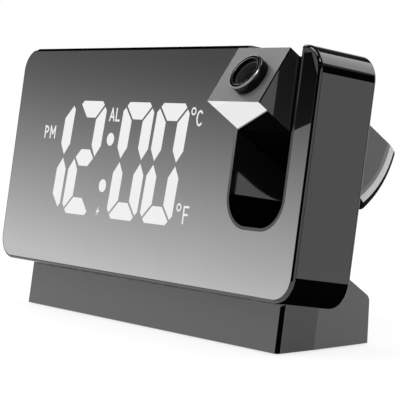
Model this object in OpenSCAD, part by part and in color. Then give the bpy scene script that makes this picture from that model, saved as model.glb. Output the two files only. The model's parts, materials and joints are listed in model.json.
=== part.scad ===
// Projection alarm clock: a mirror-faced case that leans back on a wedge stand, with a
// see-saw projector arm that swings through a U-shaped slot in the case.
// Millimetres. +X to the viewer's right, +Y to the rear, +Z up. The origin is under the
// middle of the whole clock, on the surface that its feet stand on.

/* [Case] */
// Width of the case
case_w = 185; // [170:1:200]
// Height of the case, along its own leaning front
case_h = 84; // [80:1:95]
// Depth of the case, square to its front
case_d = 24.5; // [23.5:0.5:28]
// Radius of the case's four corners, seen from the front
case_corner_r = 9; // [6:0.5:12]
// Radius that breaks the case's front and rear edges
case_edge_r = 1.2; // [0.8:0.1:1.6]
// Wall thickness of the case
case_wall = 2.2; // [1.8:0.1:2.6]
// Thickness of the rear cover
cover_t = 2.2; // [1.8:0.1:2.6]
// How far the case leans back, in degrees
lean_angle = 9; // [5:0.5:12]

/* [Mirror panel] */
// Thickness of the mirror panel
panel_t = 2; // [1.5:0.1:2.5]
// Width of the case's rim around the mirror panel and the slot
panel_rim = 1; // [0.8:0.1:1.5]

/* [Projector slot] */
// Clearance between the arm and each side of the slot
slot_gap = 0.65; // [0.25:0.05:1]
// Middle of the slot, in from the right side of the case
slot_in = 24.5; // [23.5:0.5:26.5]
// Clearance between the arm's swinging tail and the slot's floor
slot_floor_gap = 1; // [0.5:0.1:3]
// Radius of the slot's two lower corners
slot_r = 10.5; // [9:0.5:11.5]
// Thickness of the slot's walls
slot_wall = 2; // [1.6:0.1:2.2]

/* [Projector arm] */
// Width of the arm
arm_w = 27.4; // [26.5:0.1:29]
// Arm's reach above its pivot, square to its length
arm_up = 10; // [8.5:0.1:11]
// Arm's reach below its pivot, square to its length
arm_down = 11.8; // [10:0.1:12]
// Distance from the pivot to the lens face
arm_front = 27.7; // [27:0.1:31]
// Distance from the pivot to the rounded tail
arm_tail_r = 36.2; // [33:0.1:36.4]
// Radius between the tail's end and the arm's sides
arm_tail_fillet = 9; // [8.5:0.5:12]
// Wall thickness of the arm
arm_wall = 1.8; // [1.4:0.1:2.2]
// Thickness of the face plate that carries the lens
face_t = 2; // [1.6:0.1:2.4]
// Angle of the arm above the case's own depth line, in degrees
arm_tilt = 27.5; // [0:0.5:90]
// Clearance between the pivot hubs' flanges and the rear cover
hub_cover_gap = 0.4; // [0.2:0.1:1.4]
// Pivot above the underside of the case
pivot_z = 60.5; // [60:0.5:62]
// Outer radius of the two hollow pivot hubs
hub_r = 5; // [4:0.1:5.5]
// Bore of the pivot hubs, where the wires pass
hub_bore_r = 3.2; // [2.5:0.1:3.4]

/* [Projection lens] */
// Outer radius of the focus ring
ring_r = 6.8; // [6.6:0.1:8]
// How far the focus ring stands out from the lens face
ring_h = 3.8; // [3.5:0.1:6]
// Distance of the focus ring from the right edge of the lens face
ring_side_gap = 3.9; // [3.5:0.1:5]
// Distance of the focus ring from the lower edge of the lens face
ring_base_gap = 2.7; // [2.6:0.1:4]
// Radius of the focus ring's neck in the face plate
ring_neck_r = 6.2; // [6:0.1:6.4]
// Outer radius of the lens cell
cell_r = 5.3; // [5:0.1:5.5]
// Radius of the projection lens
lens_r = 4.5; // [4:0.1:4.6]

/* [Stand] */
// Width of the stand
stand_w = 159; // [150:1:165]
// Depth of the stand along the table
stand_d = 40.5; // [38:0.5:46]
// Height of the case's front lower edge above the table
stand_lift = 17.66; // [16:0.01:22]
// Front foot of the stand behind the case's front lower edge
stand_set = 5.5; // [4:0.5:7]
// Height of the cradle up the back of the case
cradle_h = 16; // [10:0.5:16]
// Downward slope of the cradle's top, in degrees
cradle_slope = 34.8; // [30:0.1:38]
// Radius of the stand's upper rear edge
stand_edge_r = 3; // [2:0.5:4]
// Radius of the stand's front corners
stand_corner_r = 1.5; // [1:0.1:2]
// Wall thickness of the stand
stand_wall = 2.2; // [1.8:0.1:2.6]
// Radius of the rubber feet
foot_r = 5; // [4:0.5:6]
// How far the rubber feet stand out
foot_proud = 0.5; // [0.3:0.1:1]

/* [Display] */
// Height of a digit
digit_h = 43.2; // [38:0.1:44]
// Width of a digit, before it is slanted
digit_w = 19.8; // [18:0.1:20]
// Width of a digit's strokes
stroke_w = 6.3; // [5:0.1:6.6]
// Gap between neighbouring strokes
stroke_gap = 0.65; // [0.5:0.05:1]
// Sideways lean of the digits, per unit of height
digit_slant = 0.07; // [0:0.01:0.1]
// Distance between the two digits of a pair
digit_pitch = 21.7; // [21.5:0.1:22]
// Middle of the colon from the middle of the case
colon_x = -23.25; // [-24:0.05:-23]
// Middle of the colon to the middle of the digits beside it
colon_gap = 15.55; // [15.5:0.05:16]
// Height of the middle of the digits above the middle of the case
digit_rise = 0; // [-1:0.5:1]

/* [Buttons] */
// Width of a rear button
button_w = 10; // [8:0.5:12]
// Height of a rear button
button_h = 5.4; // [4:0.1:6]
// Distance between rear buttons
button_pitch = 16; // [15:0.5:17]
// How far the rear buttons stand out
button_proud = 1; // [0.9:0.1:1.5]
// Width of the snooze bar on top
snooze_w = 60; // [40:1:70]
// Depth of the snooze bar on top
snooze_d = 8; // [6:0.5:10]

/* [Hidden] */
$fn = 96;
// Clearances: parts that turn or slide in each other, parts placed together, travelling caps
running_gap = 0.05;
fit_gap = 0.1;
cap_gap = 0.3;
far = 400;

// ---- Places in the leaning case: x to the right, y to the rear, z up the front ----
cover_y = case_d - cover_t;
lean_s = sin(lean_angle);
lean_c = cos(lean_angle);
slot_w = arm_w + 2 * slot_gap;
slot_x = case_w / 2 - slot_in;
slot_floor = pivot_z - arm_tail_r - slot_floor_gap;
hub_flange_r = hub_r + 1.4;
pivot_y = cover_y - hub_flange_r - hub_cover_gap;
digit_z = case_h / 2 + digit_rise;

// A point of the case's side view, in the stand's side view
function stand_pt(y, z) = [y * lean_c + z * lean_s, stand_lift - y * lean_s + z * lean_c];

// ---- Overall depth, for the origin under the middle ----
arm_half = arm_w / 2;
arm_mid = (arm_up - arm_down) / 2;
// The lens axis, in the arm's frame
lens_x = arm_half - ring_side_gap - ring_r;
lens_z = ring_base_gap + ring_r - arm_down;
swing = arm_tilt + lean_angle;
pivot_world_y = stand_pt(pivot_y, pivot_z)[0];
ring_edge = 0.4;
tail_top_reach = sqrt(pow(arm_tail_r, 2) - pow(arm_up, 2));
reach_back = pivot_world_y + tail_top_reach * cos(swing) + arm_up * sin(swing);
reach_front = pivot_world_y - (arm_front + ring_h) * cos(swing)
    + (lens_z - ring_r + ring_edge) * sin(swing);
y_shift = -(reach_back + reach_front) / 2;

// ---- Stand outline, side view (y, z), clockwise from the front foot ----
stand_y1 = stand_set + stand_d;
stand_rear_lean = 2.5;
stand_chamfer = 1;
seat_y = stand_set * lean_c + stand_lift * lean_s;
cradle_top = stand_pt(case_d, cradle_h);
// Where the sloping top meets the rear face, which leans by stand_rear_lean
rear_rise = (cradle_top[1] - tan(cradle_slope) * (stand_y1 - cradle_top[0]))
    / (1 + tan(cradle_slope) * tan(stand_rear_lean));
rear_corner = [stand_y1 + rear_rise * tan(stand_rear_lean), rear_rise];
stand_outline = [[stand_set, 0], stand_pt(seat_y, -stand_chamfer),
    stand_pt(seat_y + stand_chamfer, 0), stand_pt(case_d, 0), cradle_top, rear_corner,
    [stand_y1, 0]];
stand_crease_y = 23.5;
stand_taper = 3.3;
stand_half = stand_w / 2;
floor_t = 2;
foot_sunk = 1;

// ---- Slot, tunnel and arm ----
slot_half = slot_w / 2;
hub_flange_t = 1.4;
washer_t = 0.5;
hub_past_wall = 1;

// ---- Inside the case ----
front_wall_t = 2.2;
front_wall_y = panel_t + front_wall_t;
// Left side of the slot's tunnel, which the display and the cover's screws keep clear of
tunnel_x = slot_x - slot_half - slot_wall;
// Display window in the front wall: left, right, bottom, top
window_side = 18.5;
window_tunnel_gap = 12.6;
window_margin = digit_h / 2 + 6.4;
window = [window_side - case_w / 2, tunnel_x - window_tunnel_gap, digit_z - window_margin,
    digit_z + window_margin];
flange_w = 3;
flange_t = 1.5;
board_t = 1.6;
// The speaker and its magnet stand on the rear cover, behind the display board
speaker_r = 12.5;
speaker_t = 6;
magnet_r = 7;
magnet_t = 3.5;
speaker_gap = 2.2;
speaker_side_gap = 4.1;
reflector_y1 = cover_y - speaker_t - magnet_t - speaker_gap - board_t;
speaker_place = [tunnel_x - speaker_side_gap - speaker_r, case_h / 2];
display_board_y1 = reflector_y1 + board_t;
// Main board, and its distances from the display board, the case's left side, the speaker,
// the case's underside and the case's top
board_gap = 1.4;
board_side = 12.5;
board_speaker_gap = 2.5;
board_base = 18;
board_top_gap = 8;
main_board_y0 = display_board_y1 + board_gap;
main_board_y1 = main_board_y0 + board_t;
main_board = [board_side - case_w / 2, speaker_place[0] - speaker_r - board_speaker_gap,
    board_base, case_h - board_top_gap];
board_post_inset = 4.5;
post_r = 2.6;
// Screws that hold the rear cover: x and z
screw_side = 8.5;
screw_tunnel_gap = 4.6;
screw_side_x = case_w / 2 - screw_side;
tunnel_screw_x = tunnel_x - screw_tunnel_gap;
screw_end = 9.5;
screw_places = [[-screw_side_x, screw_end], [-screw_side_x, case_h - screw_end],
    [tunnel_screw_x, case_h - screw_end], [tunnel_screw_x, screw_end],
    [screw_side_x, screw_end]];
boss_r = 3;
screw_r = 1.2;
screw_hole_r = 1.25;
screw_head_r = 2.2;
screw_head_t = 1.2;
small_screw_r = 0.9;
small_head_r = 1.6;
small_head_t = 0.9;
cover_screw_l = 12;
main_board_screw_l = 6;
arm_board_screw_l = 4.6;
stand_screw_l = 7;
case_screw_l = 8;

// ---- Rear face ----
// The buttons and ports stand on the main board
button_x0 = main_board[0] + 14;
button_z = case_h - 19;
button_flange = 1;
button_flange_t = 1.2;
button_travel = 0.8;
switch_w = 6;
switch_t = 3;
plunger_r = 1.5;
plunger_t = 0.6;
stem_r = 1.2;
stem_gap = 0.3;
usb_place = [main_board[0] + 18, 40];
usb_size = [13.2, 5.8];
usb_wall = 0.4;
tongue_w = 10.4;
tongue_t = 1.7;
tongue_z = 0.4;
tongue_in = 1.5;
power_place = [main_board[0] + 40, 40];
power_r = 3.4;
power_bore_r = 2.8;
cell_place = [-6, case_h / 2];
backup_cell_r = 10;
backup_cell_t = 3.2;
cell_cup_r = 12;
cell_cup_t = 1.2;
door_r = 11.2;
grille_hole_r = 0.9;
grille_pitch = 3.3;
vent_place = [-screw_side_x, case_h / 2];
snooze_x = -20;
snooze_y = case_d / 2;
snooze_flange = 1.2;
snooze_travel = 0.8;

// ---- Placement ----
module lean() {
    translate([0, y_shift, stand_lift + foot_proud]) rotate([-lean_angle, 0, 0]) children();
}
module in_stand() {
    translate([0, y_shift, foot_proud]) children();
}
// The arm's own frame: the lens looks along -y, and the pivot is the x axis
module in_arm() {
    lean() translate([slot_x, pivot_y, pivot_z]) rotate([-arm_tilt, 0, 0]) children();
}
// A flat outline in x and z, given depth from y0 to y1
module slice(y0, y1) {
    translate([0, y1, 0]) rotate([90, 0, 0]) linear_extrude(y1 - y0) children();
}
// A flat outline in y and z, given width from x0 to x1
module beam(x0, x1) {
    translate([x0, 0, 0]) rotate([90, 0, 90]) linear_extrude(x1 - x0) children();
}
// A round bar along y
module rod(x, z, y0, y1, r) {
    translate([x, y1, z]) rotate([90, 0, 0]) cylinder(h = y1 - y0, r = r);
}
// A round bar along x, from x0 to x1, about the x axis
module axle(x0, x1, r) {
    translate([x0, 0, 0]) rotate([0, 90, 0]) cylinder(h = x1 - x0, r = r);
}

// ---- Shared shapes ----
module round_rect(w, h, r) {
    union() {
        square([w - 2 * r, h], center = true);
        square([w, h - 2 * r], center = true);
        for (sx = [-1, 1], sz = [-1, 1])
            translate([sx * (w / 2 - r), sz * (h / 2 - r)]) circle(r);
    }
}
module stadium(w, h) {
    square([w - h, h], center = true);
    for (s = [-1, 1]) translate([s * (w - h) / 2, 0]) circle(h / 2);
}
module case_outline(inset) {
    translate([0, case_h / 2])
        round_rect(case_w - 2 * inset, case_h - 2 * inset, case_corner_r - inset);
}
// The slot, seen from the front and grown by grow, open at the top
module slot_outline(grow) {
    r = slot_r + grow;
    base = slot_floor - grow;
    half = slot_half + grow;
    translate([slot_x, 0]) union() {
        translate([-half, base + r]) square([2 * half, case_h]);
        translate([-half + r, base]) square([2 * (half - r), 2 * r]);
        for (s = [-1, 1]) translate([s * (half - r), base + r]) circle(r);
    }
}
// Edge of the case in section: length by depth, with the far corners rounded
module edge_profile(length) {
    square([length - case_edge_r, case_d]);
    translate([0, case_edge_r]) square([length, case_d - 2 * case_edge_r]);
    for (y = [case_edge_r, case_d - case_edge_r])
        translate([length - case_edge_r, y]) circle(case_edge_r);
}
// Whole case as a solid, with rounded front and rear edges
module case_block() {
    straight_w = case_w - 2 * case_corner_r;
    straight_h = case_h - 2 * case_corner_r;
    beam(-straight_w / 2, straight_w / 2)
        translate([case_d / 2, case_h / 2]) round_rect(case_d, case_h, case_edge_r);
    for (side = [0, 1]) mirror([side, 0, 0]) {
        translate([straight_w / 2, 0, case_corner_r]) linear_extrude(straight_h)
            edge_profile(case_corner_r);
        translate([straight_w / 2, case_d, case_h - case_corner_r]) rotate([90, 0, 0])
            rotate_extrude(angle = 90) edge_profile(case_corner_r);
        translate([straight_w / 2, case_d, case_corner_r]) rotate([90, 90, 0])
            rotate_extrude(angle = 90) edge_profile(case_corner_r);
    }
}
// A pan-head screw along +z, its head on the plane z = 0 and its shank below
module screw(shank_r, head_r, head_t, length) {
    difference() {
        union() {
            translate([0, 0, -length]) cylinder(h = length, r = shank_r);
            cylinder(h = head_t, r = head_r);
        }
        for (turn = [0, 90]) rotate([0, 0, turn])
            translate([-head_r * 0.6, -head_r * 0.12, head_t * 0.4])
                cube([head_r * 1.2, head_r * 0.24, head_t]);
    }
}

// ---- Digits: outlines around the middle of a digit, then slanted ----
digit_half = [digit_w / 2, digit_h / 2];
digit_cut = 1.4;
function slanted(points) = [for (p = points) [p[0] + digit_slant * p[1], p[1]]];
function mirrored(points, sx, sz) = [for (p = points) [sx * p[0], sz * p[1]]];
function bar_points() = let (w = digit_half[0], h = digit_half[1], c = digit_cut,
    g = stroke_gap, t = stroke_w) [[-w + c + g, h - c], [-w + 2 * c + g, h],
    [w - 2 * c - g, h], [w - c - g, h - c], [w - t - g, h - t], [-w + t + g, h - t]];
function post_points() = let (w = digit_half[0], h = digit_half[1], c = digit_cut,
    g = stroke_gap, t = stroke_w) [[-w + c, h - c - g], [-w + t, h - t - g],
    [-w + t, t / 2 + 1 + g], [-w + t / 2, g], [-w, t / 2 + 1 + g], [-w, h - 2 * c - g]];
function middle_points() = let (m = digit_half[0] - stroke_w / 2 - stroke_gap,
    t = stroke_w / 2) [[-m, 0], [t - m, t], [m - t, t], [m, 0], [m - t, -t], [t - m, -t]];
// Strokes a to g of a seven-stroke digit
function stroke_points(s) = slanted(
    s == "a" ? bar_points() : s == "d" ? mirrored(bar_points(), 1, -1)
    : s == "f" ? post_points() : s == "b" ? mirrored(post_points(), -1, 1)
    : s == "e" ? mirrored(post_points(), 1, -1) : s == "c" ? mirrored(post_points(), -1, -1)
    : middle_points());
// The time that is shown: middle of each digit and its lit strokes
first_pair_x = colon_x - colon_gap;
second_pair_x = colon_x + colon_gap;
lit_digits = [[first_pair_x - digit_pitch, "bc"], [first_pair_x, "abged"],
    [second_pair_x, "abcdef"], [second_pair_x + digit_pitch, "abcdef"]];
colon_dot_r = 2.4;
colon_half = 8.7;
colon_drop = 1.2;
colon_places = [for (s = [-1, 1])
    [colon_x + s * colon_half * digit_slant, digit_z - colon_drop + s * colon_half]];
module digit_outlines() {
    for (digit = lit_digits, s = digit[1])
        translate([digit[0], digit_z]) polygon(stroke_points(s));
    for (p = colon_places) translate(p) circle(colon_dot_r);
}

// ---- Small signs beside the digits: strokes of one width ----
sign_stroke = 0.75;
letter_h = 4.3;
unit_h = 5.7;
function along(p, q) = (q - p) / norm(q - p);
module line(p, q) {
    u = along(p, q) * sign_stroke / 2;
    n = [-u[1], u[0]];
    polygon([p - u + n, q + u + n, q + u - n, p - u - n]);
}
module path(points) {
    for (i = [0 : len(points) - 2]) line(points[i], points[i + 1]);
}
// A ring or part of one, as wide as the strokes
module bow(rx, rz, a0, a1, steps = 12) {
    angles = [for (i = [0 : steps]) a0 + (a1 - a0) * i / steps];
    polygon(concat([for (a = angles) [rx * cos(a), rz * sin(a)]],
        [for (i = [steps : -1 : 0]) [(rx - sign_stroke) * cos(angles[i]),
            (rz - sign_stroke) * sin(angles[i])]]));
}
module letter_p() {
    path([[0, 0], [0, letter_h]]);
    translate([0, letter_h * 0.72]) bow(2.6, letter_h * 0.28 + sign_stroke / 2, -90, 90);
}
module letter_m() {
    path([[0, 0], [0, letter_h], [1.6, letter_h * 0.35], [3.2, letter_h], [3.2, 0]]);
}
module letter_a() {
    path([[0, 0], [1.4, letter_h], [2.8, 0]]);
    path([[0.5, letter_h * 0.3], [2.3, letter_h * 0.3]]);
}
module letter_l() {
    path([[0, letter_h], [0, 0], [2.1, 0]]);
}
module letter_c() {
    translate([2, unit_h / 2]) bow(2, unit_h / 2, 40, 320, 16);
}
module letter_f() {
    path([[0, 0], [0, unit_h], [2.6, unit_h]]);
    path([[0, unit_h * 0.52], [2.2, unit_h * 0.52]]);
}
module degree_ring() {
    difference() {
        circle(1.45, $fn = 32);
        circle(1.45 - sign_stroke * 0.8, $fn = 32);
    }
}
module charge_bolt() {
    polygon([[0.9, 3.7], [-1.1, 1.5], [0, 1.5], [-0.8, -0.2], [1.3, 2.2], [0.2, 2.2]]);
}
// A sign, placed from the middle of the colon and the middle of the digits
module sign_at(x, z) {
    translate([colon_x + x, digit_z + z]) children();
}
module indicator_outlines() {
    sign_at(-46.15, 6.9) letter_p();
    sign_at(-42.15, 6.9) letter_m();
    sign_at(-1.65, 14.6) letter_a();
    sign_at(2.55, 14.6) letter_l();
    sign_at(50.75, 19) degree_ring();
    sign_at(52.75, 13.8) letter_c();
    sign_at(49.35, -14.8) degree_ring();
    sign_at(52.55, -20.1) letter_f();
    sign_at(-1.75, -21.3) charge_bolt();
}

// ---- Case ----
module front_housing() {
    color("#141415") lean() difference() {
        union() {
            difference() {
                case_block();
                slice(cover_y, far) translate([-far, -far]) square(2 * far);
                // Hollow behind the front wall
                slice(front_wall_y, far) case_outline(case_wall);
                // Seat of the mirror panel
                slice(-1, panel_t) difference() {
                    case_outline(panel_rim);
                    slot_outline(panel_rim);
                }
            }
            intersection() {
                slice(panel_t, cover_y) slot_outline(slot_wall);
                slice(0, cover_y) case_outline(case_edge_r);
            }
            for (p = screw_places) rod(p[0], p[1], panel_t, cover_y, boss_r);
            for (x = case_screw_x) case_boss(x);
        }
        slice(-1, far) slot_outline(0);
        slice(panel_t - 1, far) window_outline(0);
        for (p = screw_places) rod(p[0], p[1], front_wall_y + 4, far, screw_hole_r);
        for (p = display_screw_places)
            rod(p[0], p[1], panel_t + display_screw_skin, front_wall_y + 1, small_screw_r);
        for (x = case_screw_x) translate([x, case_screw_y, -1])
            cylinder(h = case_boss_h, r = screw_hole_r);
        // Bearings of the arm
        translate([slot_x, pivot_y, pivot_z])
            axle(-slot_half - slot_wall - 1, slot_half + slot_wall + 1, hub_r + running_gap);
        // Hole of the snooze bar
        translate([snooze_x, snooze_y, case_h - case_wall - 1]) linear_extrude(far)
            stadium(snooze_w + 2 * cap_gap, snooze_d + 2 * cap_gap);
    }
}
// Two bosses inside the floor of the case, for the screws from the stand
case_screw_x = [-50, 30];
case_screw_y = 17;
case_boss_h = 8;
module case_boss(x) {
    translate([x, case_screw_y, 0.5]) cylinder(h = case_boss_h - 0.5, r = boss_r);
}
module window_outline(inset) {
    translate([window[0] + inset, window[2] + inset])
        square([window[1] - window[0] - 2 * inset, window[3] - window[2] - 2 * inset]);
}
module rear_cover() {
    color("#161617") lean() difference() {
        union() {
            intersection() {
                case_block();
                slice(cover_y, far) translate([-far, -far]) square(2 * far);
            }
            // Locating lips inside the floor and the left wall of the case
            slice(cover_y - lip_h, cover_y) {
                translate([floor_lip[0], case_wall + fit_gap])
                    square([floor_lip[1] - floor_lip[0], lip_t]);
                translate([-case_w / 2 + case_wall + fit_gap, wall_lip_end])
                    square([lip_t, case_h - 2 * wall_lip_end]);
            }
            for (x = board_posts_x, z = board_posts_z)
                rod(x, z, main_board_y1, cover_y, post_r);
            // Rim that centres the speaker
            slice(cover_y - lip_h, cover_y) translate(speaker_place) difference() {
                circle(speaker_r + fit_gap + lip_t);
                circle(speaker_r + fit_gap);
            }
        }
        slice(0, far) slot_outline(0);
        for (x = board_posts_x, z = board_posts_z)
            rod(x, z, main_board_y1 - 1, cover_y - 1, small_screw_r);
        for (p = screw_places) {
            rod(p[0], p[1], cover_y - 1, far, screw_hole_r);
            rod(p[0], p[1], case_d - screw_head_t, far, screw_head_r + fit_gap);
        }
        slice(cover_y - 1, far) {
            for (i = [0 : 4]) translate([button_x0 + i * button_pitch, button_z])
                stadium(button_w + 2 * cap_gap, button_h + 2 * cap_gap);
            translate(usb_place)
                square([usb_size[0] + 2 * fit_gap, usb_size[1] + 2 * fit_gap], center = true);
            translate(power_place) circle(power_r + fit_gap);
            translate(cell_place) circle(door_r + fit_gap);
            // Sound holes in rings
            translate(speaker_place) {
                circle(grille_hole_r);
                for (ring = [1 : 3], i = [0 : 6 * ring - 1]) rotate(i * 60 / ring)
                    translate([ring * grille_pitch, 0]) circle(grille_hole_r, $fn = 24);
            }
            // Vents beside the temperature sensor
            for (i = [-2 : 2]) translate([vent_place[0], vent_place[1] + i * 3])
                stadium(7, 1.4);
        }
    }
}
// The lips: thickness, depth, ends of the one on the floor, and how far the one on the left
// wall stays from the case's top and bottom
lip_t = 1.2;
lip_h = 2;
lip_side = 22.5;
lip_tunnel_gap = 10.6;
floor_lip = [lip_side - case_w / 2, tunnel_x - lip_tunnel_gap];
wall_lip_end = 20;
board_posts_x = [main_board[0] + board_post_inset, main_board[1] - board_post_inset];
board_posts_z = [main_board[2] + board_post_inset, main_board[3] - board_post_inset];
module cover_screws() {
    color("#2a2a2c") lean() for (p = screw_places)
        translate([p[0], case_d - screw_head_t, p[1]]) rotate([-90, 0, 0])
            screw(screw_r, screw_head_r, screw_head_t, cover_screw_l);
}

// ---- Display ----
// Depth of the signs set into the panel's front
sign_t = 0.6;
module mirror_panel() {
    color("#6a6a6c") lean() difference() {
        slice(0, panel_t) difference() {
            case_outline(panel_rim + fit_gap);
            slot_outline(panel_rim + fit_gap);
            digit_outlines();
        }
        slice(-1, sign_t) indicator_outlines();
    }
}
module display_segments() {
    color("#f4f6f8") lean() slice(0, panel_t) digit_outlines();
}
module display_indicators() {
    color("#f4f6f8") lean() slice(0, sign_t) indicator_outlines();
}
module display_reflector() {
    color("#e8e8e4") lean() difference() {
        union() {
            slice(panel_t, reflector_y1) window_outline(fit_gap);
            slice(front_wall_y, front_wall_y + flange_t) window_outline(-flange_w);
        }
        slice(panel_t - 1, far) digit_outlines();
        for (p = display_screw_places)
            rod(p[0], p[1], 0, far, small_screw_r + fit_gap);
    }
}
// Screws in the flange's sides, through the display board: what they leave of the front wall,
// and their distance from the window's top and bottom, clear of the main board's screws
display_screw_skin = 0.6;
display_screw_inset = 18;
display_screw_places = [for (x = [window[0] - flange_w / 2, window[1] + flange_w / 2],
    z = [window[2] + display_screw_inset, window[3] - display_screw_inset]) [x, z]];
led_size = [2.8, 1.2, 1.4];
// Light emitters stand on the board, one in the middle of each lit stroke
function middle(points) = [for (p = points) 1] * points / len(points);
led_places = concat([for (digit = lit_digits, s = digit[1])
    [digit[0], digit_z] + middle(stroke_points(s))], colon_places);
module display_leds() {
    color("#f0e6b0") lean() for (p = led_places)
        translate([p[0], reflector_y1 - led_size[1] / 2, p[1]]) cube(led_size, center = true);
}
module display_board() {
    color("#0f3d24") lean() slice(reflector_y1, display_board_y1) difference() {
        window_outline(-flange_w);
        for (p = display_screw_places) translate(p) circle(small_screw_r + fit_gap);
    }
}
module display_screws() {
    color("#b8b8bc") lean() for (p = display_screw_places) {
        translate([p[0], display_board_y1, p[1]]) rotate([-90, 0, 0])
            screw(small_screw_r, small_head_r, small_head_t,
                display_board_y1 - panel_t - display_screw_skin - 0.3);
        // Spacer sleeve between the flange and the board
        slice(front_wall_y + flange_t, reflector_y1) translate(p) difference() {
            circle(small_head_r);
            circle(small_screw_r + fit_gap);
        }
    }
}

// ---- Electronics ----
module main_board() {
    color("#124a2c") lean() slice(main_board_y0, main_board_y1) difference() {
        translate([main_board[0], main_board[2]])
            square([main_board[1] - main_board[0], main_board[3] - main_board[2]]);
        for (x = board_posts_x, z = board_posts_z)
            translate([x, z]) circle(small_screw_r + fit_gap);
    }
}
module main_board_screws() {
    color("#b8b8bc") lean() for (x = board_posts_x, z = board_posts_z)
        translate([x, main_board_y0, z]) rotate([90, 0, 0])
            screw(small_screw_r, small_head_r, small_head_t, main_board_screw_l);
}
// The clock's circuit and its crystal: place in x and z, and size
clock_place = [-20, 26];
clock_size = [12, 1.6, 9];
crystal_place = [-44, 25];
crystal_size = [5, 2, 8];
module on_main_board(place, size) {
    translate([place[0], main_board_y1 + size[1] / 2, place[1]]) cube(size, center = true);
}
module clock_chip() {
    color("#1c1c1e") lean() {
        on_main_board(clock_place, clock_size);
        on_main_board(crystal_place, crystal_size);
    }
}
snooze_switch_z = main_board[3] - switch_w / 2;
module button_switches() {
    color("#3a3a3c") lean() {
        for (i = [0 : 4]) translate([button_x0 + i * button_pitch, main_board_y1, button_z]) {
            translate([-switch_w / 2, 0, -switch_w / 2]) cube([switch_w, switch_t, switch_w]);
            rod(0, 0, switch_t, switch_t + plunger_t, plunger_r);
        }
        // The snooze switch lies on the board's upper edge and points up
        translate([snooze_x, main_board_y1 + switch_t / 2, snooze_switch_z]) {
            cube([switch_w, switch_t, switch_w], center = true);
            translate([0, 0, switch_w / 2]) cylinder(h = plunger_t, r = switch_t / 2 - 0.2);
        }
    }
}
module snooze_bar() {
    stem_z = snooze_switch_z + switch_w / 2 + plunger_t + snooze_travel + stem_gap;
    color("#0d0d0e") lean() {
        translate([snooze_x, snooze_y, case_h - case_wall - 1]) linear_extrude(case_wall + 1)
            stadium(snooze_w, snooze_d);
        translate([snooze_x, snooze_y, case_h - case_wall - 1 - fit_gap - 0.2])
            linear_extrude(1.2) stadium(snooze_w + 2 * snooze_flange, snooze_d + 2 * snooze_flange);
        translate([snooze_x, main_board_y1 + switch_t / 2, stem_z])
            cylinder(h = case_h - case_wall - 1 - stem_z, r = stem_r);
    }
}
button_stem_y = main_board_y1 + switch_t + plunger_t + button_travel + stem_gap;
module rear_button(i) {
    flange_y1 = cover_y - fit_gap;
    color("#1d1d1f") lean() translate([button_x0 + i * button_pitch, 0, button_z]) {
        slice(flange_y1 - button_flange_t, case_d + button_proud) stadium(button_w, button_h);
        slice(flange_y1 - button_flange_t, flange_y1)
            stadium(button_w + 2 * button_flange, button_h + 2 * button_flange);
        rod(0, 0, button_stem_y, flange_y1, stem_r);
    }
}
module set_button() { rear_button(0); }
module alarm_button() { rear_button(1); }
module up_button() { rear_button(2); }
module down_button() { rear_button(3); }
module projector_button() { rear_button(4); }

// Speaker: a basket ring on the cover, a paper cone and a magnet in front of them
module around_speaker() {
    translate([speaker_place[0], cover_y, speaker_place[1]]) rotate([90, 0, 0])
        rotate_extrude() children();
}
module speaker_frame() {
    color("#202022") lean() around_speaker() {
        translate([speaker_r - 2.2, 0]) square([2.2, speaker_t]);
        translate([magnet_r - 1, speaker_t - 1]) square([speaker_r - magnet_r + 1, 1]);
    }
}
module speaker_cone() {
    color("#3c3a38") lean() around_speaker()
        polygon([[0, speaker_t - 2], [3, speaker_t - 2], [speaker_r - 2.2, 1.2],
            [speaker_r - 2.2, 2], [3.4, speaker_t - 1.2], [0, speaker_t - 1.2]]);
}
module speaker_magnet() {
    color("#8a8a8e") lean() around_speaker()
        translate([0, speaker_t]) square([magnet_r, magnet_t]);
}

// Ports: each stands on the main board and comes flush with the rear cover
module usb_port() {
    color("#c8c8cc") lean() translate([usb_place[0], 0, usb_place[1]])
        slice(main_board_y1, case_d) difference() {
            square(usb_size, center = true);
            square([usb_size[0] - 2 * usb_wall, usb_size[1] - 2 * usb_wall], center = true);
        }
}
module usb_tongue() {
    color("#f2f2f2") lean() translate([usb_place[0], 0, usb_place[1]]) {
        slice(main_board_y1, case_d - tongue_in)
            translate([-tongue_w / 2, tongue_z]) square([tongue_w, tongue_t]);
        slice(main_board_y1, main_board_y1 + 1.5)
            square([usb_size[0] - 2 * usb_wall, usb_size[1] - 2 * usb_wall], center = true);
    }
}
module power_socket() {
    color("#18181a") lean() difference() {
        rod(power_place[0], power_place[1], main_board_y1, case_d, power_r);
        rod(power_place[0], power_place[1], main_board_y1 + 1.5, far, power_bore_r);
    }
}
module power_pin() {
    color("#d0d0d4") lean()
        rod(power_place[0], power_place[1], main_board_y1 + 1.5, case_d - 1, 0.65);
}
module temperature_sensor() {
    color("#2c2c30") lean() {
        rod(vent_place[0], vent_place[1], cover_y - 5, cover_y - fit_gap, 1.6);
        slice(cover_y - 6.2, cover_y - 5)
            translate([vent_place[0], vent_place[1]]) square([6, 5], center = true);
    }
}

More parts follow.
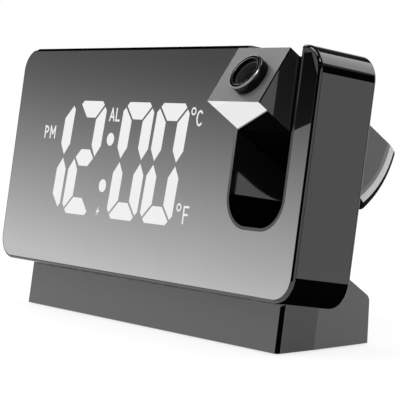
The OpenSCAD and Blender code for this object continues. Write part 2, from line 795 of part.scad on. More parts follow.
// Backup cell: a cup on the inside of the cover, closed by a round door
cup_y1 = cover_y;
cup_y0 = cup_y1 - backup_cell_t - 0.5 - cell_cup_t;
module cell_holder() {
    color("#26262a") lean() difference() {
        rod(cell_place[0], cell_place[1], cup_y0, cup_y1, cell_cup_r);
        rod(cell_place[0], cell_place[1], cup_y0 + cell_cup_t, far, backup_cell_r + fit_gap);
    }
}
module backup_cell() {
    cell_y0 = cup_y0 + cell_cup_t;
    color("#c4c4c8") lean() {
        rod(cell_place[0], cell_place[1], cell_y0 + 0.6, cell_y0 + backup_cell_t, backup_cell_r);
        rod(cell_place[0], cell_place[1], cell_y0, cell_y0 + 0.6, backup_cell_r - 1.2);
    }
}
module cell_door() {
    color("#1b1b1d") lean() difference() {
        rod(cell_place[0], cell_place[1], cover_y, case_d, door_r);
        // Slot for a coin's edge
        translate([cell_place[0] - 6, case_d - 1, cell_place[1] - 0.9]) cube([12, far, 1.8]);
    }
}

// ---- Projector arm, in its own frame ----
// A bar with a round tail, shrunk on every side by inset
module arm_bar(inset, front) {
    half = arm_half - inset;
    tail = arm_tail_r - inset;
    fillet = arm_tail_fillet - inset;
    intersection() {
        translate([-half, -front, -arm_down + inset])
            cube([2 * half, front + tail, arm_up + arm_down - 2 * inset]);
        union() {
            translate([-half, -front, -arm_w]) cube([2 * half, front, 2 * arm_w]);
            rotate([0, 90, 0]) rotate_extrude() {
                translate([0, -half + fillet]) square([tail, 2 * (half - fillet)]);
                translate([0, -half]) square([tail - fillet, 2 * half]);
                for (s = [-1, 1]) translate([tail - fillet, s * (half - fillet)])
                    intersection() {
                        circle(fillet);
                        translate([0, -fillet]) square([fillet, 2 * fillet]);
                    }
            }
        }
    }
}
module arm_shell() {
    color("#101011") in_arm() difference() {
        union() {
            difference() {
                arm_bar(0, arm_front - face_t);
                arm_bar(arm_wall, arm_front + 1);
            }
            for (p = face_screw_places) intersection() {
                translate([p[0], -arm_front + face_t, p[1]]) rotate([-90, 0, 0])
                    cylinder(h = face_boss_l, r = face_boss_r);
                arm_bar(0.5, arm_front);
            }
            for (p = arm_post_places) translate([p[0], arm_board_y1, p[1]]) rotate([-90, 0, 0])
                cylinder(h = arm_post_l, r = post_r);
            // Web that carries the posts
            translate([-arm_half + 1, arm_board_y1 + arm_post_l - web_t, arm_mid - web_h / 2])
                cube([arm_w - 2, web_t, web_h]);
        }
        axle(-arm_w, arm_w, hub_r);
        for (p = face_screw_places) translate([p[0], -arm_front, p[1]]) rotate([-90, 0, 0])
            cylinder(h = 8, r = small_screw_r);
        for (p = arm_post_places) translate([p[0], arm_board_y1 - 1, p[1]]) rotate([-90, 0, 0])
            cylinder(h = arm_post_l, r = small_screw_r);
    }
}
face_boss_r = 2;
face_boss_l = 8;
face_screw_in = 3.2;
face_screw_places = [[arm_half - face_screw_in, arm_up - face_screw_in],
    [face_screw_in - arm_half, face_screw_in - arm_down]];
arm_board_y0 = 7.4;
arm_board_t = 1.2;
arm_board_y1 = arm_board_y0 + arm_board_t;
arm_post_l = 5;
arm_post_x = arm_half - 6;
arm_post_places = [[-arm_post_x, arm_mid + 6.2], [arm_post_x, arm_mid - 6.2]];
arm_board_size = [arm_w - 6, 17];
web_t = 1.5;
web_h = 16.4;
// The focus ring's collar: wall and length
collar_t = 1;
collar_l = 1.5;
module arm_face() {
    half = arm_half;
    color("#8a8a8c") in_arm() difference() {
        union() {
            translate([-half, -arm_front, -arm_down])
                cube([arm_w, face_t, arm_up + arm_down]);
            // Collar that steadies the focus ring's neck
            translate([lens_x, -arm_front + face_t, lens_z]) rotate([-90, 0, 0])
                cylinder(h = collar_l, r = ring_neck_r + collar_t);
        }
        translate([lens_x, -far / 2, lens_z]) rotate([-90, 0, 0])
            cylinder(h = far, r = ring_neck_r + running_gap);
        for (p = face_screw_places) translate([p[0], -arm_front + 0.8, p[1]])
            rotate([-90, 0, 0]) cylinder(h = far, r = small_screw_r);
    }
}
// Studs behind the face plate, screwed into the arm's two bosses
module arm_face_screws() {
    color("#b0b0b4") in_arm() for (p = face_screw_places)
        translate([p[0], -arm_front + 0.8, p[1]]) rotate([-90, 0, 0])
            cylinder(h = 6.5, r = small_screw_r);
}
// A hub, its flange on the inside of the slot's wall, from the slot's middle outwards
module hub() {
    wall_x = slot_half + slot_wall + washer_t;
    shaft_x = arm_half - arm_wall - hub_past_wall;
    difference() {
        union() {
            axle(shaft_x, wall_x, hub_r);
            axle(wall_x, wall_x + hub_flange_t, hub_flange_r);
        }
        axle(0, far, hub_bore_r);
    }
}
module left_hub() { color("#3a3a3e") in_arm() mirror([1, 0, 0]) hub(); }
module right_hub() { color("#3a3a3e") in_arm() hub(); }
module friction_washers() {
    color("#d8d4c8") lean() translate([slot_x, pivot_y, pivot_z]) for (side = [0, 1])
        mirror([side, 0, 0]) difference() {
            axle(slot_half + slot_wall, slot_half + slot_wall + washer_t, hub_flange_r - 0.2);
            axle(0, far, hub_r + fit_gap);
        }
}

// Turned pieces about the lens axis; the profile's height is the distance in front of the pivot
module about_lens_axis() {
    in_arm() translate([lens_x, 0, lens_z]) rotate([90, 0, 0]) rotate_extrude() children();
}
ring_y0 = arm_front - face_t - 2.6;
ring_gap = 0.15;
clip_t = 0.8;
ring_bore_r = cell_r + running_gap;
module focus_ring() {
    top = arm_front + ring_h;
    color("#0c0c0d") about_lens_axis() difference() {
        union() {
            translate([0, ring_y0]) square([ring_neck_r, arm_front + ring_gap - ring_y0]);
            polygon([[0, arm_front + ring_gap], [ring_r, arm_front + ring_gap],
                [ring_r, top - ring_edge], [ring_r - ring_edge, top], [0, top]]);
        }
        translate([0, ring_y0 - 1]) square([ring_bore_r, top - ring_y0 + 2]);
    }
}
// Snap ring behind the collar, which keeps the focus ring in the face plate
module focus_clip() {
    collar_y = arm_front - face_t - collar_l;
    color("#9a9a9e") about_lens_axis()
        translate([ring_neck_r, collar_y - ring_gap - clip_t]) square([collar_t, clip_t]);
}
cell_y0 = arm_front - 2.2;
cell_y1 = arm_front + ring_h - 1.6;
module lens_cell() {
    color("#161618") about_lens_axis() difference() {
        translate([0, cell_y0]) square([cell_r, cell_y1 - cell_y0]);
        translate([0, cell_y0 + 0.8]) square([lens_r, cell_y1]);
        translate([0, cell_y0 - 1]) square([lens_r - 0.8, cell_y1]);
    }
}
lens_curve_r = 11;
lens_edge_t = 1.2;
module projection_lens() {
    y0 = cell_y0 + 0.8;
    sag = lens_curve_r - sqrt(pow(lens_curve_r, 2) - pow(lens_r, 2));
    color("#b9c6d2", 0.6) about_lens_axis() {
        translate([0, y0]) square([lens_r, lens_edge_t]);
        intersection() {
            translate([0, y0 + lens_edge_t + sag - lens_curve_r]) circle(lens_curve_r);
            translate([0, y0]) square([lens_r, lens_edge_t + sag]);
        }
    }
}
// Optics behind the lens: a tube with the image slide, the condenser lens and the light
tube_r = 7.2;
tube_bore_r = 6.2;
tube_y0 = -4;
tube_y1 = 17;
slide_t = 0.8;
slide_y0 = 12;
condenser_t = 3.4;
condenser_y0 = 4;
module optics_tube() {
    color("#1a1a1c") {
        about_lens_axis() difference() {
            translate([0, tube_y0]) square([tube_r, tube_y1 - tube_y0]);
            translate([0, tube_y0 - 1]) square([tube_bore_r, tube_y1 - tube_y0 + 2]);
        }
        // Feet that stand on the arm's floor
        in_arm() for (y = [-tube_y1 + 1, -tube_y0 - 3])
            translate([lens_x - 3, y, -arm_down + arm_wall])
                cube([6, 2, lens_z - tube_bore_r - 0.4 + arm_down - arm_wall]);
    }
}
module image_slide() {
    color("#7f8fa0", 0.7) about_lens_axis() translate([0, slide_y0])
        square([tube_bore_r, slide_t]);
}
module condenser_lens() {
    color("#b9c6d2", 0.6) about_lens_axis() {
        translate([0, condenser_y0]) square([tube_bore_r, 1.4]);
        intersection() {
            translate([0, condenser_y0 + condenser_t - 10]) circle(10);
            translate([0, condenser_y0]) square([tube_bore_r - 0.4, condenser_t]);
        }
    }
}
module projector_led() {
    led_base = -arm_board_y0;
    color("#d0202a") about_lens_axis() {
        translate([0, led_base]) square([2.9, 1]);
        translate([0, led_base + 1]) square([2.5, 3]);
        intersection() {
            translate([0, led_base + 4]) circle(2.5);
            translate([0, led_base + 4]) square([2.5, 2.5]);
        }
    }
}
module projector_board() {
    color("#0f3d24") in_arm() translate([0, arm_board_y0, arm_mid]) rotate([-90, 0, 0])
        linear_extrude(arm_board_t) difference() {
            square(arm_board_size, center = true);
            for (p = arm_post_places) translate([p[0], arm_mid - p[1]])
                circle(small_screw_r + fit_gap);
        }
}
module projector_board_screws() {
    color("#b0b0b4") in_arm() for (p = arm_post_places)
        translate([p[0], arm_board_y0, p[1]]) rotate([90, 0, 0])
            screw(small_screw_r, small_head_r, small_head_t, arm_board_screw_l);
}

// ---- Stand ----
// A corner of a clockwise outline, moved inwards by d
function inset_corner(a, p, b, d) = let (u = along(a, p), v = along(p, b),
    n = [u[1], -u[0]], m = [v[1], -v[0]]) p + d * (n + m) / (1 + n * m);
function inset_outline(points, d) = let (n = len(points)) [for (i = [0 : n - 1])
    inset_corner(points[(i + n - 1) % n], points[i], points[(i + 1) % n], d)];
module rounded_stand_profile() {
    u = along(rear_corner, cradle_top);
    v = along(rear_corner, [stand_y1, 0]);
    half_angle = acos(u * v) / 2;
    reach = stand_edge_r / tan(half_angle);
    middle_way = along([0, 0], u + v);
    difference() {
        polygon(stand_outline);
        difference() {
            polygon([rear_corner + u * reach, rear_corner * 1.1, rear_corner + v * reach,
                rear_corner + middle_way * stand_edge_r / sin(half_angle)]);
            translate(rear_corner + middle_way * stand_edge_r / sin(half_angle))
                circle(stand_edge_r);
        }
    }
}
// Plan of the stand in the case's lean: rounded front corners, and sides that taper behind
module stand_plan() {
    r = stand_corner_r;
    back = seat_y + stand_d * 2;
    narrowed = stand_half - (back - stand_crease_y) * tan(stand_taper);
    polygon([[-stand_half + r, seat_y], [stand_half - r, seat_y], [stand_half, seat_y + r],
        [stand_half, stand_crease_y], [narrowed, back], [-narrowed, back],
        [-stand_half, stand_crease_y], [-stand_half, seat_y + r]]);
    for (s = [-1, 1]) translate([s * (stand_half - r), seat_y + r]) circle(r);
}
module stand_block() {
    intersection() {
        beam(-stand_w, stand_w) rounded_stand_profile();
        translate([0, 0, stand_lift]) rotate([-lean_angle, 0, 0])
            translate([0, 0, -3 * stand_lift]) linear_extrude(8 * stand_lift) stand_plan();
    }
}
// Half width of the hollow, which clears the sides where they are narrowest
hollow_half = stand_half - stand_wall - (stand_y1 - stand_crease_y) * tan(stand_taper);
// Inside of the stand, open below
module stand_hollow_profile(inset) {
    points = inset_outline(stand_outline, inset);
    last = len(points) - 1;
    down = inset + 2;
    drop = [for (i = [0 : last]) i == 0 ? points[0] - down * [tan(lean_angle), 1]
        : i == last ? points[last] - down * [tan(stand_rear_lean), 1] : points[i]];
    polygon(drop);
}
stand_boss_h = 8;
front_boss_y = stand_set + stand_wall + boss_r;
rear_boss_y = stand_y1 - stand_wall - screw_head_r - 2 * fit_gap;
boss_x = stand_half - stand_wall - boss_r - 2.5;
stand_screw_places = [for (x = [-boss_x, boss_x], y = [front_boss_y, rear_boss_y]) [x, y]];
foot_x = stand_half - 19.5;
foot_places = [for (y = [stand_set + 8.5, stand_y1 - 8], x = [-foot_x, foot_x]) [x, y]];
module stand_shell() {
    color("#3c3c3e") in_stand() difference() {
        union() {
            difference() {
                stand_block();
                beam(-hollow_half, hollow_half) stand_hollow_profile(stand_wall);
            }
            // Bosses on the front and rear walls, above the floor plate
            for (p = stand_screw_places) translate([p[0], p[1], floor_t])
                cylinder(h = stand_boss_h, r = boss_r);
        }
        for (p = stand_screw_places) translate([p[0], p[1], floor_t - 1])
            cylinder(h = 8, r = screw_hole_r);
        translate([0, 0, stand_lift]) rotate([-lean_angle, 0, 0]) for (x = case_screw_x)
            translate([x, case_screw_y, -stand_wall - 1])
                cylinder(h = stand_wall + 2, r = screw_hole_r);
    }
}
module stand_floor() {
    color("#1c1c1e") in_stand() difference() {
        intersection() {
            beam(fit_gap - hollow_half, hollow_half - fit_gap)
                stand_hollow_profile(stand_wall + fit_gap);
            translate([-far, -far, 0]) cube([2 * far, 2 * far, floor_t]);
        }
        for (p = foot_places) translate([p[0], p[1], -1])
            cylinder(h = 1 + foot_sunk, r = foot_r + fit_gap);
        for (p = stand_screw_places) translate([p[0], p[1], -1]) {
            cylinder(h = far, r = screw_hole_r);
            cylinder(h = 1 + screw_head_t, r = screw_head_r + fit_gap);
        }
    }
}
module stand_feet() {
    color("#242426") in_stand() for (p = foot_places)
        translate([p[0], p[1], -foot_proud]) cylinder(h = foot_sunk + foot_proud, r = foot_r);
}
module stand_screws() {
    color("#b0b0b4") in_stand() for (p = stand_screw_places)
        translate([p[0], p[1], screw_head_t]) rotate([180, 0, 0])
            screw(screw_r, screw_head_r, screw_head_t, stand_screw_l);
}
module case_screws() {
    color("#b0b0b4") in_stand() translate([0, 0, stand_lift]) rotate([-lean_angle, 0, 0])
        for (x = case_screw_x) translate([x, case_screw_y, -stand_wall])
            rotate([180, 0, 0]) screw(screw_r, screw_head_r, screw_head_t, case_screw_l);
}

front_housing();
rear_cover();
cover_screws();
mirror_panel();
display_segments();
display_indicators();
display_reflector();
display_leds();
display_board();
display_screws();
main_board();
main_board_screws();
clock_chip();
button_switches();
snooze_bar();
set_button();
alarm_button();
up_button();
down_button();
projector_button();
speaker_frame();
speaker_cone();
speaker_magnet();
usb_port();
usb_tongue();
power_socket();
power_pin();
temperature_sensor();
cell_holder();
backup_cell();
cell_door();
arm_shell();
arm_face();
arm_face_screws();
left_hub();
right_hub();
friction_washers();
focus_ring();
focus_clip();
lens_cell();
projection_lens();
optics_tube();
image_slide();
condenser_lens();
projector_led();
projector_board();
projector_board_screws();
stand_shell();
stand_floor();
stand_feet();
stand_screws();
case_screws();
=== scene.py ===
"""Projection alarm clock: finishes, rounded edges, lens and studio, laid out as an add-on."""

import json
import math

import bmesh
import bpy
from mathutils import Matrix, Vector

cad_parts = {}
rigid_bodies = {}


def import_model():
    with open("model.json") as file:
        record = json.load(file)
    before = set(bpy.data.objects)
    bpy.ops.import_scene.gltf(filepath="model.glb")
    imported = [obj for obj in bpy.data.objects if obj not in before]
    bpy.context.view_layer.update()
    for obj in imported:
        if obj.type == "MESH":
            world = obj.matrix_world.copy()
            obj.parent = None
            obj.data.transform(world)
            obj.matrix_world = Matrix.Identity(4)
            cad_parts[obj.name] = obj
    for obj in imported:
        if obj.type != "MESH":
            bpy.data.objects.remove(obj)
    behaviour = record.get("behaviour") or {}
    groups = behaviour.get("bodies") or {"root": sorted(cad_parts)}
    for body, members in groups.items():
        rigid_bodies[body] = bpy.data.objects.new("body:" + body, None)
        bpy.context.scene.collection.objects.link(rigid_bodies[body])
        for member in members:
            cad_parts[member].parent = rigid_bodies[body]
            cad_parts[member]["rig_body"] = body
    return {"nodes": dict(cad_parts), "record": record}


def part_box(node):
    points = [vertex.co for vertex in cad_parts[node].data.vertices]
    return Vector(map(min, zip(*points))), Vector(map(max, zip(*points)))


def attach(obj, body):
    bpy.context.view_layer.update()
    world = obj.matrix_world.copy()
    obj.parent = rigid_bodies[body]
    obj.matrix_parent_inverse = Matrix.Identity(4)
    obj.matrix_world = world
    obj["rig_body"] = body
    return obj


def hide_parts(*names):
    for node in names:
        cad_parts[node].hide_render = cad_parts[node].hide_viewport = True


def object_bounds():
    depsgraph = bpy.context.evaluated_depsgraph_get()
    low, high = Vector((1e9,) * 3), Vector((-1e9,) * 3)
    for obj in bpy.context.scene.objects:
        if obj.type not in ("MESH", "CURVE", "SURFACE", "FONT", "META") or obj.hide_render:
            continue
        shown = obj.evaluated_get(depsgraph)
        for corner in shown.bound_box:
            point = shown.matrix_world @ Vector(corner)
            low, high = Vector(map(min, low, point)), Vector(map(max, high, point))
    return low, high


bl_info = {
    "name": "Projection alarm clock",
    "version": (1, 0, 0),
    "blender": (4, 5, 0),
    "location": "View3D > Sidebar > Clock",
    "description": "Finishes, rounded edges, lens and studio of a projection alarm clock",
    "category": "Object",
}

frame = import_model()
NODES = frame["nodes"]
CAD_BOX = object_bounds()

MM = 0.001
MERGE_DISTANCE = 0.002 * MM
# Faces that turn less than this lie in one plane; edges that turn more than this are sharp
FLAT_ANGLE = math.radians(0.4)
SHARP_ANGLE = math.radians(30)


def body_of_node(node):
    """Name of the moving body that a node belongs to."""
    return NODES[node]["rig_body"]


# ---- Sizes and colours that a user may change ----


def colour(name, description, default):
    return bpy.props.FloatVectorProperty(
        name=name, description=description, default=default, size=3, subtype="COLOR",
        min=0.0, max=1.0,
    )


def length(name, description, millimetres):
    return bpy.props.FloatProperty(
        name=name, description=description, default=millimetres * MM, min=0.0,
        unit="LENGTH", subtype="DISTANCE", precision=5,
    )


class ClockFinish(bpy.types.PropertyGroup):
    """Colours of the clock's finishes."""

    case_black: colour("Case black", "Gloss black of the case", (0.005, 0.005, 0.006))
    # The arm's own black; as a material with no reflection at all it is also painted shade on the
    # case's roundings, the slot's floor and right wall, the arm inside the slot, the stand's front
    # corners and the lines down the face plate's sides
    deep_black_and_painted_shade: colour("Edge black", "Deep black of the arm and of the case's roundings",
                       (0.001, 0.001, 0.001))
    stand_black: colour("Stand black", "Gloss black of the stand", (0.028, 0.028, 0.029))
    # Painted highlight: a light band along the stand's top front chamfer and round the arm's tail
    painted_highlight_edge: colour("Light edge", "Edges of the stand's top and the arm's tail",
                       (0.42, 0.42, 0.42))
    # Painted shade: the tail's end in black with no reflection
    tail_black_and_painted_shade: colour("Tail black", "Dull black of the tail's end", (0.010, 0.010, 0.010))
    # Painted sheen: grey between the tail's flank and its painted highlight
    tail_painted_sheen: colour("Tail grey", "Between the tail's flank and its light edge",
                      (0.12, 0.12, 0.12))
    underside: colour("Underside", "Plated underside of the arm's head", (0.91, 0.91, 0.91))
    # Painted highlight: the ring's broken front edges take a lighter metal, whose light line stands
    # in for their highlight
    ring_rim_painted_highlight: colour("Ring rim", "Bright rims of the focus ring", (0.22, 0.22, 0.22))
    # Painted reflection: the mirror's colour runs from dark at the top to light at the lower edge,
    # and other glossy parts see a brighter colour in it
    mirror_top_painted_reflection: colour("Mirror top", "Smoked mirror at its top edge", (0.055, 0.055, 0.057))
    mirror_bottom_painted_reflection: colour("Mirror bottom", "Mirror at its lower edge", (0.50, 0.50, 0.50))
    mirror_painted_reflection: colour("Mirror in mirrors", "Mirror as other glossy parts show it",
                         (0.84, 0.84, 0.84))
    display_white: colour("Display white", "Light of the digits and signs", (0.78, 0.78, 0.79))
    lens_face: colour("Lens face", "Grey of the arm's face plate", (0.105, 0.105, 0.105))


class ClockEdges(bpy.types.PropertyGroup):
    """Roundings of the moulded edges."""

    arm_edge: length("Arm edge", "Rounding of the arm's long edges", 0.35)
    face_edge: length("Face edge", "Rounding of the face plate's edges", 0.1)
    # Painted shade: a black line with no reflection down the face plate's sides
    painted_plate_line: length("Plate line", "Width of the black line down the face plate's sides", 0.55)
    stand_edge: length("Stand edge", "Rounding of the stand's edges", 0.3)
    ring_edge: length("Ring edge", "Rounding of the focus ring's edges", 0.15)
    key_edge: length("Key edge", "Rounding of the keys and the snooze bar", 0.35)
    panel_edge: length("Panel edge", "Break of the mirror panel's edges", 0.18)


class ClockStudio(bpy.types.PropertyGroup):
    """Camera and lights."""

    azimuth: bpy.props.FloatProperty(
        name="Azimuth", description="Camera's angle round the clock",
        default=math.radians(53.83), subtype="ANGLE",
    )
    elevation: bpy.props.FloatProperty(
        name="Elevation", description="Camera's angle above the table",
        default=math.radians(4.132), subtype="ANGLE",
    )
    roll: bpy.props.FloatProperty(
        name="Roll", description="Camera's turn about its own axis",
        default=math.radians(0.272), subtype="ANGLE",
    )
    distance: length("Distance", "From the aim point back to the camera", 627.399)
    slide: length("Slide", "Camera's shift to its right", 26.39)
    rise: length("Rise", "Camera's shift upwards", 45.57)
    focal: bpy.props.FloatProperty(
        name="Focal length", description="Focal length on the camera's sensor", default=156.85,
    )
    sky: bpy.props.FloatProperty(
        name="Sky", description="Strength of the soft light from all sides", default=0.75,
    )


# ---- Directions, and cosines that tell faces apart ----

ACROSS = Vector((1.0, 0.0, 0.0))
# About which way the mirror panel and the lens face look
PANEL_WAY = Vector((0.0, -1.0, 0.0))
LENS_WAY = Vector((0.0, -0.8, 0.6))
# Faces within this of a given way point about that way
ABOUT = math.cos(math.radians(25))
# Faces within this of an axis of the case count as flat
FLAT = math.cos(math.radians(1.5))
# A face points mostly one way, half one way, or is turned a little from the others
MOSTLY = 0.8
HALF = 0.5
BROKEN = 0.1


# ---- Mesh tools ----


def finished_piece(name, bm, node):
    """Makes the bmesh a piece that rides with a node's body."""
    mesh = bpy.data.meshes.new(name)
    bm.to_mesh(mesh)
    bm.free()
    for polygon in mesh.polygons:
        polygon.use_smooth = True
    mesh.set_sharp_from_angle(angle=SHARP_ANGLE)
    piece = bpy.data.objects.new(name, mesh)
    bpy.context.scene.collection.objects.link(piece)
    weighted = piece.modifiers.new("Even shading", "WEIGHTED_NORMAL")
    weighted.keep_sharp = True
    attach(piece, body_of_node(node))
    return piece


def merged(node):
    """A closed bmesh of a node, with each flat face in one piece."""
    bm = bmesh.new()
    bm.from_mesh(NODES[node].data)
    bmesh.ops.remove_doubles(bm, verts=bm.verts, dist=MERGE_DISTANCE)
    bmesh.ops.dissolve_limit(
        bm, angle_limit=FLAT_ANGLE, verts=bm.verts, edges=bm.edges,
        use_dissolve_boundaries=False, delimit=set(),
    )
    return bm


def sharp_edges(bm, keep=None):
    """Sharp edges, or those of them whose middle passes the test."""
    found = []
    for edge in bm.edges:
        if len(edge.link_faces) != 2 or edge.calc_face_angle(0.0) < SHARP_ANGLE:
            continue
        middle = (edge.verts[0].co + edge.verts[1].co) / 2
        if keep is None or keep(middle):
            found.append(edge)
    return found


def round_edges(bm, edges, radius, segments):
    bmesh.ops.bevel(
        bm, geom=edges, offset=radius, offset_type="OFFSET", segments=segments, profile=0.5,
        affect="EDGES", material=-1, clamp_overlap=True,
    )


def split_along(bm, plane):
    """Splits the faces along a plane, given as its way and how far out it lies."""
    way, limit = plane
    bmesh.ops.bisect_plane(bm, geom=bm.verts[:] + bm.edges[:] + bm.faces[:],
                           plane_co=way * limit, plane_no=way)


def rounded_copy(node, radius, segments=3, keep=None, parts=(), cuts=()):
    """Lets a copy with rounded edges stand for a node. A part is a finish and a test: faces whose
    normal and middle pass the test take that finish. Cuts are planes along which the flat faces
    are split, so that a part can end there."""
    bm = merged(node)
    if radius:
        round_edges(bm, sharp_edges(bm, keep), radius, segments)
    for plane in cuts:
        split_along(bm, plane)
    bm.normal_update()
    for face in bm.faces:
        middle = face.calc_center_median()
        for number, (_, test) in enumerate(parts, start=1):
            if test(face.normal, middle):
                face.material_index = number
                break
    piece = finished_piece(node + "_rounded", bm, node)
    piece.data.materials.append(material_of(node))
    for name, _ in parts:
        piece.data.materials.append(FINISHES[name])
    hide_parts(node)


def facing(node, way):
    """Mean normal of the node's faces that point about the given way."""
    total = Vector((0.0, 0.0, 0.0))
    for polygon in NODES[node].data.polygons:
        if polygon.normal.dot(way) > ABOUT:
            total += polygon.normal * polygon.area
    return total.normalized()


def reach(node, way):
    """How far the node reaches along a way."""
    return max(vertex.co.dot(way) for vertex in NODES[node].data.vertices)


def case_axes():
    """The case's three axes: across, front and up."""
    front = facing("mirror_panel", PANEL_WAY)
    return ACROSS, front, front.cross(ACROSS)


# ---- Shared shader group ----


def new_group(name, inputs, outputs):
    """A shader group with its sockets, and its two end nodes."""
    group = bpy.data.node_groups.new(name, "ShaderNodeTree")
    for label, kind, default in inputs:
        socket = group.interface.new_socket(label, in_out="INPUT", socket_type=kind)
        socket.default_value = default
    for label, kind in outputs:
        group.interface.new_socket(label, in_out="OUTPUT", socket_type=kind)
    return group, group.nodes.new("NodeGroupInput"), group.nodes.new("NodeGroupOutput")


# Noise scale and detail of the mottling and of the handling marks, and detail of the grain
MOTTLE_NOISE = (45.0, 4.0)
MARKS_NOISE = (28.0, 6.0)
GRAIN_DETAIL = 3.0
GRAIN_DEPTH = 0.02 * MM


def moulded_surface():
    """Fine grain, faint mottling and handling marks of a moulded or plated surface."""
    name = "Moulded surface"
    if name in bpy.data.node_groups:
        return bpy.data.node_groups[name]
    number = "NodeSocketFloat"
    group, start, end = new_group(
        name,
        [
            ("Colour", "NodeSocketColor", (0.5, 0.5, 0.5, 1.0)),
            ("Mottling", number, 0.06),
            ("Grain scale", number, 900.0),
            ("Grain height", number, 0.1),
            ("Roughness", number, 0.1),
            ("Marks", number, 0.03),
        ],
        [("Colour", "NodeSocketColor"), ("Roughness", number), ("Normal", "NodeSocketVector")],
    )
    nodes, links = group.nodes, group.links
    place = nodes.new("ShaderNodeTexCoord")

    def noise(scale, detail):
        node = nodes.new("ShaderNodeTexNoise")
        node.inputs["Scale"].default_value = scale
        node.inputs["Detail"].default_value = detail
        links.new(place.outputs["Object"], node.inputs["Vector"])
        return node

    def maths(operation, a, b):
        node = nodes.new("ShaderNodeMath")
        node.operation = operation
        for socket, value in zip(node.inputs, (a, b)):
            if isinstance(value, (int, float)):
                socket.default_value = value
            else:
                links.new(value, socket)
        return node.outputs[0]

    mottle = noise(*MOTTLE_NOISE)
    centred = maths("SUBTRACT", mottle.outputs["Fac"], 0.5)
    factor = maths("ADD", maths("MULTIPLY", centred, start.outputs["Mottling"]), 1.0)
    shade = nodes.new("ShaderNodeVectorMath")
    shade.operation = "SCALE"
    links.new(start.outputs["Colour"], shade.inputs[0])
    links.new(factor, shade.inputs["Scale"])
    links.new(shade.outputs[0], end.inputs["Colour"])

    marks = noise(*MARKS_NOISE)
    spread = maths("MULTIPLY", maths("SUBTRACT", marks.outputs["Fac"], 0.5), start.outputs["Marks"])
    links.new(maths("ADD", start.outputs["Roughness"], spread), end.inputs["Roughness"])

    grain = nodes.new("ShaderNodeTexNoise")
    grain.inputs["Detail"].default_value = GRAIN_DETAIL
    links.new(place.outputs["Object"], grain.inputs["Vector"])
    links.new(start.outputs["Grain scale"], grain.inputs["Scale"])
    bump = nodes.new("ShaderNodeBump")
    bump.inputs["Distance"].default_value = GRAIN_DEPTH
    links.new(start.outputs["Grain height"], bump.inputs["Strength"])
    links.new(grain.outputs["Fac"], bump.inputs["Height"])
    links.new(bump.outputs["Normal"], end.inputs["Normal"])
    return group


# ---- Materials: one for each finish in the record ----


def finish(name, base, roughness, grain=(900.0, 0.08), mottling=0.06, marks=0.03, **sockets):
    """A Principled material over the shared surface; other sockets are set on the shader."""
    material = bpy.data.materials.new(name)
    material.use_nodes = True
    nodes, links = material.node_tree.nodes, material.node_tree.links
    shader = nodes["Principled BSDF"]
    surface = nodes.new("ShaderNodeGroup")
    surface.node_tree = moulded_surface()
    values = {
        "Colour": (*base, 1.0), "Mottling": mottling, "Grain scale": grain[0],
        "Grain height": grain[1], "Roughness": roughness, "Marks": marks,
    }
    for label, value in values.items():
        surface.inputs[label].default_value = value
    links.new(surface.outputs["Colour"], shader.inputs["Base Color"])
    links.new(surface.outputs["Roughness"], shader.inputs["Roughness"])
    links.new(surface.outputs["Normal"], shader.inputs["Normal"])
    for label, value in sockets.items():
        shader.inputs[label.replace("_", " ")].default_value = value
    return material


def mirror_with_painted_reflection(name, top, bottom, again):
    """Mirror with a painted reflection: dark at the top, lighter towards its lower edge, along the
    panel's own slope. Other glossy parts see it as a plain, brighter painted reflection, left of
    the arm."""
    material = finish(name, top, 0.06, grain=(500.0, 0.02), marks=0.02, Metallic=1.0)
    nodes, links = material.node_tree.nodes, material.node_tree.links
    low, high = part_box("mirror_panel")
    place = nodes.new("ShaderNodeTexCoord")
    axes = nodes.new("ShaderNodeSeparateXYZ")
    links.new(place.outputs["Object"], axes.inputs[0])
    # The painted reflection runs down the panel, and a little towards its left
    height = nodes.new("ShaderNodeMapRange")
    height.inputs["From Min"].default_value = high.z
    height.inputs["From Max"].default_value = low.z
    links.new(axes.outputs["Z"], height.inputs["Value"])
    side = nodes.new("ShaderNodeMapRange")
    side.inputs["From Min"].default_value = low.x
    side.inputs["From Max"].default_value = high.x
    side.inputs["To Min"].default_value = MIRROR_SIDE_SHIFT
    side.inputs["To Max"].default_value = -MIRROR_SIDE_SHIFT
    links.new(axes.outputs["X"], side.inputs["Value"])
    total = nodes.new("ShaderNodeMath")
    total.operation = "ADD"
    total.use_clamp = True
    links.new(height.outputs[0], total.inputs[0])
    links.new(side.outputs[0], total.inputs[1])
    curve = nodes.new("ShaderNodeMath")
    curve.operation = "POWER"
    curve.inputs[1].default_value = MIRROR_CURVE
    links.new(total.outputs[0], curve.inputs[0])
    mix = nodes.new("ShaderNodeMix")
    mix.data_type = "RGBA"
    mix.inputs["A"].default_value = (*top, 1.0)
    mix.inputs["B"].default_value = (*bottom, 1.0)
    links.new(curve.outputs[0], mix.inputs["Factor"])
    path = nodes.new("ShaderNodeLightPath")
    shown = nodes.new("ShaderNodeMix")
    shown.data_type = "RGBA"
    shown.inputs["B"].default_value = (*again, 1.0)
    # Painted reflection: only left of the arm do other glossy parts see the brighter colour; right
    # of the arm the glass keeps its dark painted gradient in every view
    arm_low, arm_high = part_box("arm_shell")
    left = nodes.new("ShaderNodeMath")
    left.operation = "LESS_THAN"
    left.inputs[1].default_value = (arm_low.x + arm_high.x) / 2
    links.new(axes.outputs["X"], left.inputs[0])
    both = nodes.new("ShaderNodeMath")
    both.operation = "MULTIPLY"
    links.new(path.outputs["Is Glossy Ray"], both.inputs[0])
    links.new(left.outputs[0], both.inputs[1])
    links.new(both.outputs[0], shown.inputs["Factor"])
    links.new(mix.outputs["Result"], shown.inputs["A"])
    surface = next(node for node in nodes if node.type == "GROUP")
    links.new(shown.outputs["Result"], surface.inputs["Colour"])
    return material


